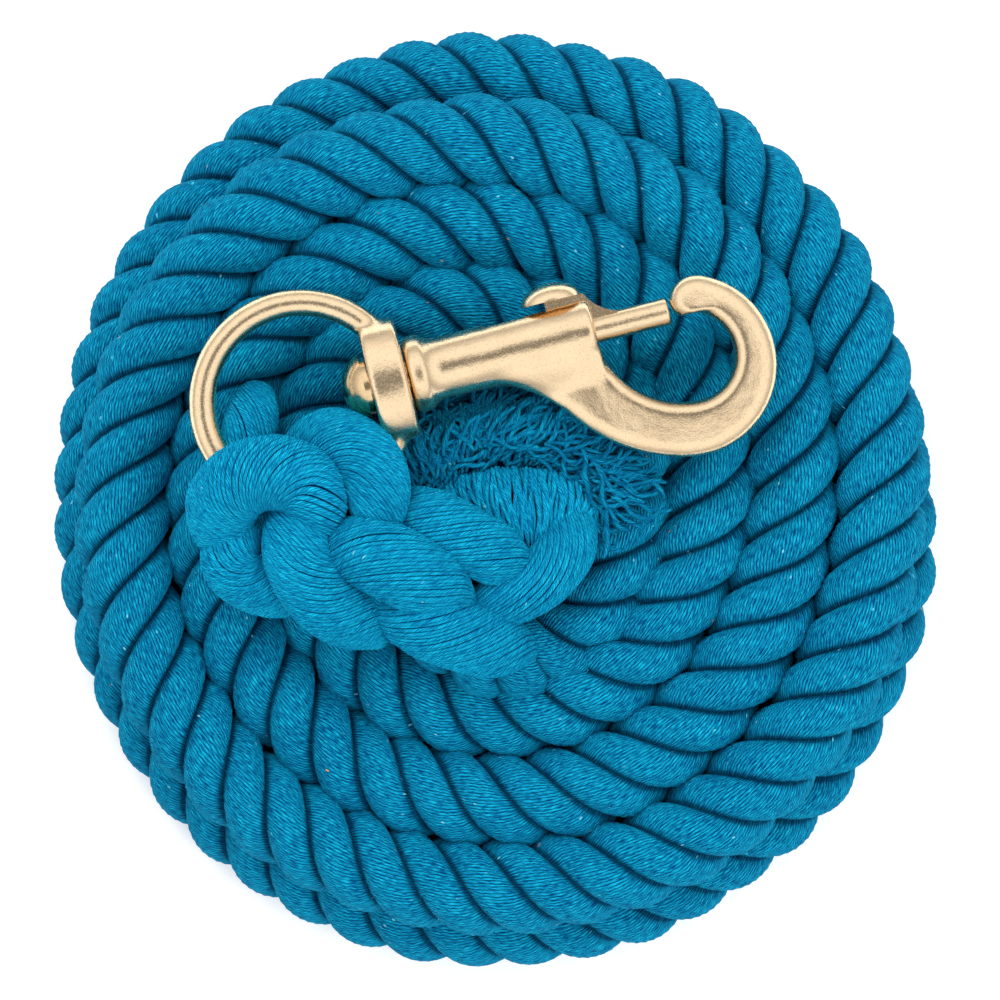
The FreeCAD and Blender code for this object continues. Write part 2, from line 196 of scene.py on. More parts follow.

# %% [markdown]
# Everything soft here is made of cotton yarn, so one shader group draws yarns from a surface's own
# two directions: metres along the strand and metres round it. It gives a height for the bump,
# a mask that paints shade into the gaps between yarns, a mask that paints shade along the seams
# between strands, and a tone that changes from yarn to yarn. Noise bends the yarns and sets their
# tones. It is stretched along them, as a yarn changes slowly on its way.

# %% Yarn group
DRIFT = (18.0, 300.0)            # scale along the yarns and across them, of the noise that bends them
KINK = (60.0, 1500.0)            # the same, of short kinks
FIBRE = (330.0, 5200.0)          # the same, of single fibres
TONE_ALONG = 50.0
TONE_APART = 7.31                # how far apart neighbouring yarns lie in the noise of their tones
KINK_SHARE = 0.16
NOISE_MEAN = 0.5
WANDER_SPAN = 8.0                # yarns, from one end of the noise to the other at full wander
TOP_ROUND = 3.0                  # power that rounds a yarn's top
GAP_SHARP = 6.0                  # power that narrows the gap beside it
SEAM_AT = 0.0176                 # metres round the strand, where it meets the next one
SEAM_SHARP = 14.0
yarn_group, yarn_in, yarn_out = new_group(
    "yarn_lay", [("Spacing", 0.00066), ("Lay Angle", 0.8), ("Wander", 0.22), ("Streak Scale", 1.0)],
    ("Height", "Gap Shade", "Tone", "Streak", "Seam Shade"))
calc = partial(math_node, yarn_group)


def stretched_noise(x, y, scales, detail):
    """Noise in the yarn group, stretched to its own scale along each of two directions."""
    node = add_node(yarn_group, "ShaderNodeTexNoise", noise_dimensions="2D")
    set_sockets(node, {"Scale": 1.0, "Detail": detail})
    at = add_node(yarn_group, "ShaderNodeCombineXYZ")
    yarn_group.links.new(calc("MULTIPLY", x, scales[0]), at.inputs[0])
    yarn_group.links.new(calc("MULTIPLY", y, scales[1]), at.inputs[1])
    yarn_group.links.new(at.outputs[0], node.inputs["Vector"])
    return node.outputs[0]


lay = add_node(yarn_group, "ShaderNodeUVMap", uv_map="lay")
lay_xy = add_node(yarn_group, "ShaderNodeSeparateXYZ")
yarn_group.links.new(lay.outputs[0], lay_xy.inputs[0])
lay_sin = calc("SINE", yarn_in.outputs["Lay Angle"])
lay_cos = calc("COSINE", yarn_in.outputs["Lay Angle"])
across = calc("ADD", calc("MULTIPLY", lay_xy.outputs[0], lay_sin),
              calc("MULTIPLY", lay_xy.outputs[1], lay_cos))
along = calc("SUBTRACT", calc("MULTIPLY", lay_xy.outputs[0], lay_cos),
             calc("MULTIPLY", lay_xy.outputs[1], lay_sin))
drift = stretched_noise(along, across, DRIFT, 2.0)
kink = stretched_noise(along, across, KINK, 1.0)
bend = calc("MULTIPLY_ADD", kink, KINK_SHARE, calc("SUBTRACT", drift, NOISE_MEAN * (1 + KINK_SHARE)))
wobble = calc("MULTIPLY", bend, calc("MULTIPLY", yarn_in.outputs["Wander"], WANDER_SPAN))
counted = calc("ADD", calc("DIVIDE", across, yarn_in.outputs["Spacing"]), wobble)
yarn_number = calc("FLOOR", counted)
from_middle = calc("ABSOLUTE", calc("MULTIPLY_ADD", calc("FRACT", counted), 2.0, -1.0))
tone = stretched_noise(calc("MULTIPLY", yarn_number, TONE_APART), along, (1.0, TONE_ALONG), 2.0)
streak = stretched_noise(calc("MULTIPLY", along, yarn_in.outputs["Streak Scale"]), across, FIBRE, 3.0)
round_top = calc("SUBTRACT", 1.0, calc("POWER", from_middle, TOP_ROUND))
proud = calc("MULTIPLY_ADD", tone, 1.1, 0.25)
# Painted shade in the gaps between yarns: strongest at each yarn's edges, and stronger or weaker from place
# to place.
patchy_gap_shade = calc("MULTIPLY_ADD", kink, -1.0, calc("MULTIPLY_ADD", tone, -1.6, 2.5))
gap_shade = calc("MULTIPLY", calc("POWER", from_middle, GAP_SHARP), patchy_gap_shade)
# Painted shade along the seam where a strand meets the next one.
seam_shade = calc("POWER", calc("DIVIDE", calc("ABSOLUTE", lay_xy.outputs[1]), SEAM_AT), SEAM_SHARP)
for label, value in (("Height", calc("MULTIPLY_ADD", streak, 0.35, calc("MULTIPLY", round_top, proud))),
                     ("Gap Shade", clamped(yarn_group, gap_shade)), ("Tone", tone), ("Streak", streak),
                     ("Seam Shade", clamped(yarn_group, seam_shade))):
    yarn_group.links.new(value, yarn_out.inputs[label])
print("yarn group nodes", len(yarn_group.nodes))

# %% [markdown]
# Cotton holds odd fibres that took no dye. A second group scatters short pale flecks that lie
# along the yarns, with a few that are warm in colour. The cells of a Voronoi pattern place them:
# a cell shows a fleck only where its own random colour is rare enough.

# %% Fleck group
FLECK_LEAN = -1.09               # radians; the flecks lie along the rope's yarns
FLECK_SIZE = (0.0042, 0.0006, 1.0)   # metres along and across; the third number isn't used
FLECK_SHARE = 0.018              # of all cells, at amount 1
FLECK_REACH = 0.33               # of a cell, from its middle
WARM_FROM = 0.93
fleck_group, fleck_in, fleck_out = new_group("stray_flecks", [("Amount", 0.5)], ("Mask", "Warm"))
calc = partial(math_node, fleck_group)
fleck_lay = add_node(fleck_group, "ShaderNodeUVMap", uv_map="lay")
fleck_frame = add_node(fleck_group, "ShaderNodeMapping", vector_type="TEXTURE")
set_sockets(fleck_frame, {"Rotation": (0, 0, FLECK_LEAN), "Scale": FLECK_SIZE})
fleck_group.links.new(fleck_lay.outputs[0], fleck_frame.inputs["Vector"])
cells = add_node(fleck_group, "ShaderNodeTexVoronoi")
set_sockets(cells, {"Scale": 1.0})
fleck_group.links.new(fleck_frame.outputs[0], cells.inputs["Vector"])
chance = add_node(fleck_group, "ShaderNodeSeparateColor")
fleck_group.links.new(cells.outputs["Color"], chance.inputs[0])
rare = calc("GREATER_THAN", chance.outputs[0],
            calc("SUBTRACT", 1.0, calc("MULTIPLY", fleck_in.outputs["Amount"], FLECK_SHARE)))
near = calc("LESS_THAN", cells.outputs["Distance"], FLECK_REACH)
faint = calc("MULTIPLY_ADD", chance.outputs[2], 0.7, 0.25)
fleck_group.links.new(calc("MULTIPLY", faint, calc("MULTIPLY", rare, near)), fleck_out.inputs["Mask"])
fleck_group.links.new(calc("GREATER_THAN", chance.outputs[1], WARM_FROM), fleck_out.inputs["Warm"])
print("fleck group nodes", len(fleck_group.nodes))

# %% [markdown]
# Dyed cotton is dull and lighter where fibres stand up. The material mixes two tones of the dye by
# the two groups, with slow clouds and a fine fuzz on top, and a third, darker colour paints shade
# into the gaps between yarns. A trace of sheen stands for the haze of loose fibres, which would be
# far too many to model.

# %% Cotton material
CLOUD = (120.0, 4.0)             # scale and detail of the slow patches
FUZZ = (3600.0, 3.0)             # and of the fuzz
STREAK_TONE, YARN_TONE, CLOUD_TONE, FUZZ_TONE = 2.7, 0.3, 0.4, 0.5   # how much each one lightens
TONE_SHIFT = -1.56
FUZZ_RELIEF = 0.30
PALE_FLECK = (0.16, 0.62, 0.78, 1)
WARM_FLECK = (0.60, 0.30, 0.12, 1)
COTTON_SURFACE = {"Roughness": 0.95, "Specular IOR Level": 0.05, "Sheen Weight": 0.06,
                  "Sheen Roughness": 0.5, "Sheen Tint": (0.02, 0.75, 1.0, 1)}


def mix_colour(tree, factor, a, b):
    """Mix two colours; each is a colour or an output."""
    node = add_node(tree, "ShaderNodeMix", data_type="RGBA")
    for slot, value in ((0, factor), (6, a), (7, b)):
        if isinstance(value, (int, float, tuple)):
            node.inputs[slot].default_value = value
        else:
            tree.links.new(value, node.inputs[slot])
    return node.outputs[2]


def object_noise(tree, scale, detail):
    """Plain noise over the object's own space."""
    spot = add_node(tree, "ShaderNodeTexCoord")
    node = add_node(tree, "ShaderNodeTexNoise")
    set_sockets(node, {"Scale": scale, "Detail": detail})
    tree.links.new(spot.outputs["Object"], node.inputs["Vector"])
    return node.outputs[0]


def cotton(name, shade_colour, mid, light, lay_angle, spacing=0.00060, bump=0.00022, wander=0.10, flecks=0.5,
           streak_scale=1.0, seam_shade_strength=0.0):
    """Dyed cotton yarn: two tones of the dye, a darker colour for painted shade, and how the yarns lie on the
    surface.
    """
    material = bpy.data.materials.new(name)
    material.use_nodes = True
    tree = material.node_tree
    shader = tree.nodes["Principled BSDF"]
    yarn = add_node(tree, "ShaderNodeGroup", node_tree=yarn_group)
    set_sockets(yarn, {"Spacing": spacing, "Lay Angle": lay_angle, "Wander": wander,
                       "Streak Scale": streak_scale})
    fleck = add_node(tree, "ShaderNodeGroup", node_tree=fleck_group)
    set_sockets(fleck, {"Amount": flecks})
    fuzz = object_noise(tree, *FUZZ)
    tone = TONE_SHIFT
    for pattern, share in ((fuzz, FUZZ_TONE), (object_noise(tree, *CLOUD), CLOUD_TONE),
                           (yarn.outputs["Tone"], YARN_TONE), (yarn.outputs["Streak"], STREAK_TONE)):
        tone = math_node(tree, "MULTIPLY_ADD", pattern, share, tone)
    dyed = mix_colour(tree, clamped(tree, tone), mid, light)
    # Painted shade: the gaps between yarns, and where asked the seams between strands, take the shade colour.
    shaded = mix_colour(tree, yarn.outputs["Gap Shade"], dyed, shade_colour)
    if seam_shade_strength:
        shaded = mix_colour(tree, math_node(tree, "MULTIPLY", yarn.outputs["Seam Shade"], seam_shade_strength), shaded, shade_colour)
    stray = mix_colour(tree, fleck.outputs["Warm"], PALE_FLECK, WARM_FLECK)
    tree.links.new(mix_colour(tree, fleck.outputs["Mask"], shaded, stray), shader.inputs["Base Color"])
    relief = add_node(tree, "ShaderNodeBump")
    set_sockets(relief, {"Distance": bump, "Strength": 1.0})
    tree.links.new(math_node(tree, "MULTIPLY_ADD", fuzz, FUZZ_RELIEF, yarn.outputs["Height"]),
                   relief.inputs["Height"])
    tree.links.new(relief.outputs[0], shader.inputs["Normal"])
    set_sockets(shader, COTTON_SURFACE)
    print("cotton", name)
    return material


# %% [markdown]
# In laid rope the strands wind one way and the yarns inside them the other, so that on the outside
# the yarns run along the rope's own axis. The slant of a strand at its crown follows from how soon
# it goes once round, and the yarns lie across the strand at that same angle.

# %% Lay of the rope
PITCH = 0.0288                   # length of rope in which a strand goes once round
STRAND_OUT = 0.00405             # middle of a strand, out from the rope's axis
STRAND_DEEP = 0.00468            # half size of a strand's section, outwards
STRAND_WIDE = 0.00540            # and round the rope
CROWN = STRAND_OUT + STRAND_DEEP
LAY_SLOPE = math.tau * CROWN / PITCH
LAY_ON_ROPE = math.atan(LAY_SLOPE)
LAY_STRETCH = math.hypot(1, LAY_SLOPE)   # length along a strand's crown, for each length of rope
# The first blue is the colour of painted shade in gaps and seams.
SHADE_BLUE = (0.0003, 0.010, 0.055, 1)
ROPE_BLUE = (0.0005, 0.086, 0.235, 1)
LIGHT_BLUE = (0.0060, 0.470, 0.730, 1)
# The rope's strands also get painted shade along their seams.
rope_cotton = cotton("rope_cotton", SHADE_BLUE, ROPE_BLUE, LIGHT_BLUE, LAY_ON_ROPE, seam_shade_strength=0.7,
                     streak_scale=0.45)
print("strand crown slants at", round(math.degrees(LAY_ON_ROPE), 1), "degrees")

# %% [markdown]
# The rope's route is the most important line in the whole piece. It leaves the splice, winds
# outwards for about three and a quarter turns on the upper layer, drops over the edge towards the
# back, and winds back in underneath. Each quarter of a turn has its own radius, because a coil laid
# by hand is never a perfect spiral; a loop then spaces the points evenly between the quarters.

# %% Coil points
EXIT_POINTS = [(-2.5, -27.4, 29.5), (4.0, -28.4, 26.0), (11.0, -26.2, 23.4), (17.8, -20.2, 22.6),
               (22.4, -10.6, 22.4)]
# Radius and height at each quarter turn, from the right side on, counter-clockwise, in millimetres.
QUARTERS = [(23.7, 22.4), (34.6, 22.0), (35.6, 22.4), (37.9, 22.4),
            (37.7, 22.6), (48.6, 22.4), (50.0, 22.4), (53.6, 22.4),
            (52.7, 22.6), (63.4, 22.6), (66.0, 22.6), (69.0, 22.6),
            (68.6, 21.8), (75.0, 9.6), (70.0, 8.4), (75.4, 8.4),
            (70.6, 8.4), (60.0, 8.0), (55.4, 8.0), (58.4, 8.0),
            (55.2, 8.0), (45.2, 8.0), (40.4, 8.0), (43.3, 8.0),
            (40.2, 8.0), (30.4, 8.0), (25.6, 8.0), (27.4, 8.0),
            (24.6, 8.0)]
END_POINTS = [(20.6, 10.4, 8.0), (12.0, 15.4, 8.2), (4.4, 12.0, 8.6), (1.4, 6.0, 9.4)]
STEPS_PER_QUARTER = 4
SPLINE_CUT = 0.981               # share of their radius at which the smooth line passes its points


def eased(before, here, after, beyond, share):
    """A smooth value between here and after, leaning on the values each side."""
    a = 2 * here
    b = (after - before) * share
    c = (2 * before - 5 * here + 4 * after - beyond) * share ** 2
    d = (3 * here - before - 3 * after + beyond) * share ** 3
    return (a + b + c + d) / 2


def coil_points():
    """Points of the coil's turns, sixteen to a turn."""
    points = []
    last = len(QUARTERS) - 1
    for quarter in range(last):
        window = [QUARTERS[max(0, min(last, quarter + k))] for k in (-1, 0, 1, 2)]
        for step in range(STEPS_PER_QUARTER):
            share = step / STEPS_PER_QUARTER
            radius = eased(*[w[0] for w in window], share) / SPLINE_CUT
            height = eased(*[w[1] for w in window], share)
            angle = math.radians(90 * (quarter + share))
            points.append((radius * math.cos(angle), radius * math.sin(angle), height))
    points.append((QUARTERS[last][0], 0.0, QUARTERS[last][1]))
    return points


rope_route = EXIT_POINTS + coil_points() + END_POINTS
print("rope route", len(rope_route), "points")

# %% [markdown]
# A rope has no corners, so the points steer a spline instead of being joined by straight lines.
# Blender works the spline out and hands back its points, and a second pass sets them at even steps.

# %% Smooth line
SHORTEST_REST = 0.3              # share of a step left over that still earns a last point


def smooth_line(name, points_mm, resolution=10):
    """The points of a smooth spline through the route, in metres."""
    curve = bpy.data.curves.new(name, "CURVE")
    curve.dimensions = "3D"
    curve.resolution_u = resolution
    spline = curve.splines.new("NURBS")
    spline.points.add(len(points_mm) - 1)
    for point, at in zip(spline.points, points_mm):
        point.co = (at[0] * MM, at[1] * MM, at[2] * MM, 1)
    spline.order_u = 3
    spline.use_endpoint_u = True
    holder = bpy.data.objects.new(name, curve)
    bpy.context.scene.collection.objects.link(holder)
    bpy.context.view_layer.update()
    mesh = bpy.data.meshes.new_from_object(holder)
    line = [v.co.copy() for v in mesh.vertices]
    bpy.data.objects.remove(holder)
    bpy.data.meshes.remove(mesh)
    return line


def even_line(line, step):
    """The same line with points a set distance apart."""
    out = [line[0].copy()]
    left = step
    for a, b in zip(line, line[1:]):
        run = (b - a).length
        done = 0.0
        while run - done >= left:
            done += left
            out.append(a.lerp(b, done / run))
            left = step
        left -= run - done
    if (out[-1] - line[-1]).length > step * SHORTEST_REST:
        out.append(line[-1].copy())
    return out


def line_length(line):
    """The length of a line from point to point, in metres."""
    return sum((b - a).length for a, b in zip(line, line[1:]))


rope_line = smooth_line("rope_route", rope_route)

# %% [markdown]
# Three-strand rope is three bars wound round each other. A tube with a bump map would show
# a smooth silhouette, so the strands are real geometry. Each has a wedge-shaped section: a
# round outer face, and two flanks that press against the other strands. Thirteen points shape
# the outer face where it shows and three close the inside.

# %% Strand section
FACE_POINTS = 13
FACE_SWEEP = math.radians(110)
INSIDE = ((0.0012, 0.0030), (0.0004, 0.0), (0.0012, -0.0030))   # outwards, and round the rope
# The inner points lie beyond the seam, so the shader paints shade on the strands' flanks.
INSIDE_V = 0.02                  # beyond the seam, so that the shader keeps the flanks dark


def strand_section():
    """Points of one strand in the plane square to the rope: (outwards, round the rope, lay v)."""
    points = []
    for i in range(FACE_POINTS):
        sweep = (i / (FACE_POINTS - 1) * 2 - 1) * FACE_SWEEP
        out = STRAND_OUT + STRAND_DEEP * math.cos(sweep)
        across = STRAND_WIDE * math.sin(sweep)
        around = CROWN * math.atan2(across, out)
        points.append((out, across, around * LAY_STRETCH))
    for out, across in INSIDE:
        points.append((out, across, INSIDE_V if across > 0 else -INSIDE_V))
    return points


print("strand section", len(strand_section()), "points")

# %% [markdown]
# A strand's mesh is a row of such sections, one after another, joined into a skin. The yarns, the
# dark cores and the strands all need the same few helpers: directions square to a line, a skin
# over rings of points, round ends, and a mesh that carries the lay's two directions as its UVs.

# %% Rings and skins
SETTLE = 0.0014                  # the underside flattens below this height


def way_at(line, i):
    """The direction of a line at one of its points."""
    return (line[min(i + 1, len(line) - 1)] - line[max(i - 1, 0)]).normalized()


def frames_along(line):
    """Two directions square to the line at each point, turning as little as possible."""
    ways = [way_at(line, i) for i in range(len(line))]
    side = ways[0].cross(UP)
    if side.length < 1e-4:
        side = Vector((1, 0, 0))
    side.normalize()
    out = []
    for i, way in enumerate(ways):
        if i:
            side = ways[i - 1].rotation_difference(way) @ side
            side = (side - way * side.dot(way)).normalized()
        out.append((side, way.cross(side)))
    return out


def settle(point):
    """Flatten what would sink into the ground, as a soft rope does under its own weight."""
    if point.z < SETTLE:
        point.z = SETTLE * math.exp(point.z / SETTLE - 1)
    return point


def swell(i, total, reach):
    """Rounds a strand off over the last few rings at each end."""
    near = min(i, total - 1 - i)
    if near >= reach:
        return 1.0
    return math.sqrt(1.0 - ((reach - near) / (reach + 0.6)) ** 2)


def skin(faces, uvs, base, us, vs, end_us, flip=False):
    """Join rings of points into a closed skin, from the vertex base on.

    us holds the u of each ring, vs the v of each point with one more to close the ring, and end_us
    the u of the two ends. flip is for rings that run round the other way.
    """
    size = len(vs) - 1
    for i in range(len(us) - 1):
        for k in range(size):
            a, b = base + i * size + k, base + i * size + (k + 1) % size
            faces.append((a, a + size, b + size, b) if flip else (a, b, b + size, a + size))
            uvs += [(us[i], vs[k]), (us[i], vs[k + 1]), (us[i + 1], vs[k + 1]), (us[i + 1], vs[k])]
    for end, u in zip((0, len(us) - 1), end_us):
        ring = [base + end * size + k for k in range(size)]
        faces.append(tuple(ring if (end > 0) != flip else reversed(ring)))
        uvs += [(u, 0.0)] * size


def mesh_object(name, verts, faces, uvs, material):
    """A smooth-shaded mesh; uvs holds one pair for each face corner."""
    mesh = bpy.data.meshes.new(name)
    mesh.from_pydata(verts, [], faces)
    layer = mesh.uv_layers.new(name="lay")
    layer.data.foreach_set("uv", [c for pair in uvs for c in pair])
    mesh.polygons.foreach_set("use_smooth", [True] * len(mesh.polygons))
    mesh.validate()
    obj = bpy.data.objects.new(name, mesh)
    bpy.context.scene.collection.objects.link(obj)
    mesh.materials.append(material)
    return obj


# %% [markdown]
# Now the rope can be wound. Each strand keeps its own turn round the line, a third of a circle
# apart from the others, and swells and thins a little on its way, as hand-laid cotton does.

# %% Wound strands
RING_STEP = 0.00135              # from section to section, along the rope
END_RINGS = 3                    # sections over which an end is rounded off
# Share of the size, pace along the rope, and shift from strand to strand of the two swellings.
SWELLINGS = ((0.022, 61, 2.1), (0.016, 173, 0))
STRAND_APART = 3.7               # how far apart the strands lie in the yarns' noise


def rope_strands(name, line, scale=1.0, start_turn=0.0):
    """Three wound strands along a line, in one mesh."""
    line = even_line(line, RING_STEP)
    frames = frames_along(line)
    section = strand_section()
    vs = [v for _, _, v in section + section[:1]]
    verts, faces, uvs = [], [], []
    for strand in range(3):
        base = len(verts)
        us = []
        for i, at in enumerate(line):
            side, up = frames[i]
            along = i * RING_STEP
            turn = start_turn + strand * math.tau / 3 + math.tau * along / PITCH
            grow = swell(i, len(line), END_RINGS) * scale * (1.0 + sum(
                share * math.sin(along * pace + strand * shift) for share, pace, shift in SWELLINGS))
            outward = side * math.cos(turn) + up * math.sin(turn)
            round_it = up * math.cos(turn) - side * math.sin(turn)
            us.append(along * LAY_STRETCH + strand * STRAND_APART)
            for out, across, _ in section:
                verts.append(settle(at + (outward * out + round_it * across) * grow))
        skin(faces, uvs, base, us, vs, (us[0], us[-1]))
    return mesh_object(name, verts, faces, uvs, rope_cotton)


rope = rope_strands("rope", rope_line)
print("rope mesh", len(rope.data.polygons), "faces")

# %% [markdown]
# A single yarn is itself twisted from fibres, far finer than the yarns of a strand. The same shader
# group draws them, with a smaller spacing, on a lighter copy of the rope's dye, which is painted light
# for loose yarns that catch more light. The brush is a darker copy, painted shade for the hollow under
# the snap, and the cores inside the bundles are painted shade, nearly as dark as a gap.

# %% Yarn materials
# A lighter copy of the rope's cotton: painted light on the loose yarns.
YARN_LIT_BLUE = (0.0005, 0.150, 0.360, 1)
YARN_LIT_LIGHT = (0.0080, 0.580, 0.860, 1)
# A darker copy for the brush in the hollow under the snap: painted shade.
BRUSH_SHADED_BLUE = (0.0005, 0.088, 0.230, 1)
BRUSH_SHADED_LIGHT = (0.0050, 0.370, 0.600, 1)
# The cores' cotton is painted shade, nearly as dark as a gap.
CORE_SHADE_BLUE = (0.0004, 0.040, 0.130, 1)
CORE_SHADE_LIGHT = (0.001, 0.090, 0.220, 1)
fine_cotton = partial(cotton, lay_angle=0.5, spacing=0.00033, bump=0.00008, wander=0.3, flecks=0.22)
lit_yarn_cotton = fine_cotton("lit_yarn_cotton", SHADE_BLUE, YARN_LIT_BLUE, YARN_LIT_LIGHT)
shaded_brush_cotton = fine_cotton("shaded_brush_cotton", SHADE_BLUE, BRUSH_SHADED_BLUE, BRUSH_SHADED_LIGHT)
core_shade_cotton = cotton("core_shade_cotton", SHADE_BLUE, CORE_SHADE_BLUE, CORE_SHADE_LIGHT, 0.8, bump=0.0001)

# %% [markdown]
# Loose yarns are thin tubes. Five sides are enough for something less than a millimetre thick,
# as smooth shading hides the corners, and more than a thousand of them stay cheap.

# %% Yarn tube
YARN_R = 0.00042
SIDES = 5


def tube_rings(verts, faces, uvs, line, radii, shift):
    """Add a yarn along a line to the mesh lists, with a radius for each point."""
    base = len(verts)
    run = shift
    us = []
    for i, (at, (side, up)) in enumerate(zip(line, frames_along(line))):
        if i:
            run += (at - line[i - 1]).length
        us.append(run)
        radius = radii[i] * swell(i, len(line), 2)
        for k in range(SIDES):
            turn = math.tau * k / SIDES
            verts.append(at + (side * math.cos(turn) + up * math.sin(turn)) * radius)
    vs = [k / SIDES * math.tau * YARN_R for k in range(SIDES + 1)]
    skin(faces, uvs, base, us, vs, (shift, shift))


def paint_core_shade(piece, count):
    """Give the first faces of a piece, its core, the cotton of painted shade."""
    piece.data.materials.append(core_shade_cotton)
    for face in piece.data.polygons[:count]:
        face.material_index = 1


def rope_piece(piece, node):
    """Declare that a piece moves with the rope and stands for one designed solid."""
    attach(piece, "rope")
    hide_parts(node)
    print(piece.name, len(piece.data.polygons), "faces")


# %% [markdown]
# Where the rope meets the ring, its three strands are opened, crowned over each other and tucked
# back. Loose strands show their yarns one by one, so each strand here is a bundle: a core coloured
# with painted shade, with real yarn tubes laid round it at a slant. A bundle swells in the middle
# and dives at both ends, so that its ends go under its neighbours instead of looking cut.

# %% Yarn bundle
YARN_GAP = 0.00058               # from yarn to yarn, round the bundle
YARN_THIN, YARN_THICK = 0.00022, 0.0011   # the least and the greatest radius of a yarn
YARN_FILL = 0.55                 # a yarn's radius, as a share of the distance to the next one
BUNDLE_STEP = 0.0012             # from ring to ring, along a yarn
CORE_SIDES = 28
CORE_INSET = 0.00045             # how far the core lies under the bundle's surface
DIVE = 0.35                      # share of the bundle over which each end grows thinner
YARN_STRAY = 0.10                # of the distance to the next yarn, where it starts
YARN_SWAY = 0.12                 # and as it goes on
YARN_LIFT = 0.00006


def bundle_shape(t, blunt):
    """Share of full size at t, which is 0 at the bundle's start and 1 at its end."""
    start, end = blunt
    if t < DIVE:
        return start + (1 - start) * math.sin(t / DIVE * math.pi / 2)
    if t > 1 - DIVE:
        return end + (1 - end) * math.sin((1 - t) / DIVE * math.pi / 2)
    return 1.0


def yarn_radii(path, beside):
    """Radii that fill the room between a yarn and the next one, measured square to the yarn."""
    radii = []
    for i, at in enumerate(path):
        way = way_at(path, i)
        off = beside[i] - at
        room = (off - way * off.dot(way)).length
        radii.append(min(YARN_THICK, max(YARN_THIN, YARN_FILL * room)))
    return radii


def yarn_bundle(name, points_mm, wide, tall, slant, blunt):
    """A strand of separate yarns round a core. slant is the yarns' angle to the strand, in degrees."""
    lean = math.radians(slant)
    line = even_line(smooth_line(name, points_mm, 12), BUNDLE_STEP * math.cos(lean))
    last = len(line) - 1
    sides = [way_at(line, i).cross(UP).normalized() for i in range(last + 1)]
    ups = [side.cross(way_at(line, i)).normalized() for i, side in enumerate(sides)]

    def surface(i, angle, inset):
        """A point beside the bundle's middle, so far under its surface."""
        grow = bundle_shape(i / last, blunt)
        out, over = wide * grow - inset, tall * grow - inset
        return line[i] + sides[i] * (out * math.cos(angle)) + ups[i] * (over * math.sin(angle))

    verts = [surface(i, math.tau * k / CORE_SIDES, CORE_INSET)
             for i in range(last + 1) for k in range(CORE_SIDES)]
    faces, uvs = [], []
    skin(faces, uvs, 0, [0.0] * (last + 1), [0.0] * (CORE_SIDES + 1), (0.0, 0.0), flip=True)
    core_faces = len(faces)
    yarns = int(math.pi * (wide + tall) * math.cos(lean) / YARN_GAP)
    wound = math.tan(lean) / ((wide + tall) / 2) * line_length(line)
    paths = []
    for y in range(yarns):
        start = math.tau * (y + rng.uniform(-YARN_STRAY, YARN_STRAY)) / yarns
        lift = rng.uniform(-YARN_LIFT, YARN_LIFT)
        phase = rng.uniform(0, math.tau)
        paths.append([surface(i, start + wound * i / last + YARN_SWAY * math.tau / yarns * math.sin(
            i * 0.21 + phase), YARN_R * 0.9 - lift) for i in range(last + 1)])
    for y, path in enumerate(paths):
        radii = yarn_radii(path, paths[(y + 1) % yarns])
        tube_rings(verts, faces, uvs, path, radii, rng.uniform(0, 5))
    piece = mesh_object(name, verts, faces, uvs, lit_yarn_cotton)
    paint_core_shade(piece, core_faces)
    return piece


# %% [markdown]
# The routes come from the design: each strand's way through the knot, as heights above the coil.
# They are listed one by one and not worked out, as no formula gives a crown pulled tight by a person.

# %% Splice strands
COIL_TOP = 30.5


def above(points):
    """Points with heights above the coil, as points above the ground, in millimetres."""
    return [(x, y, COIL_TOP + h) for x, y, h in points]


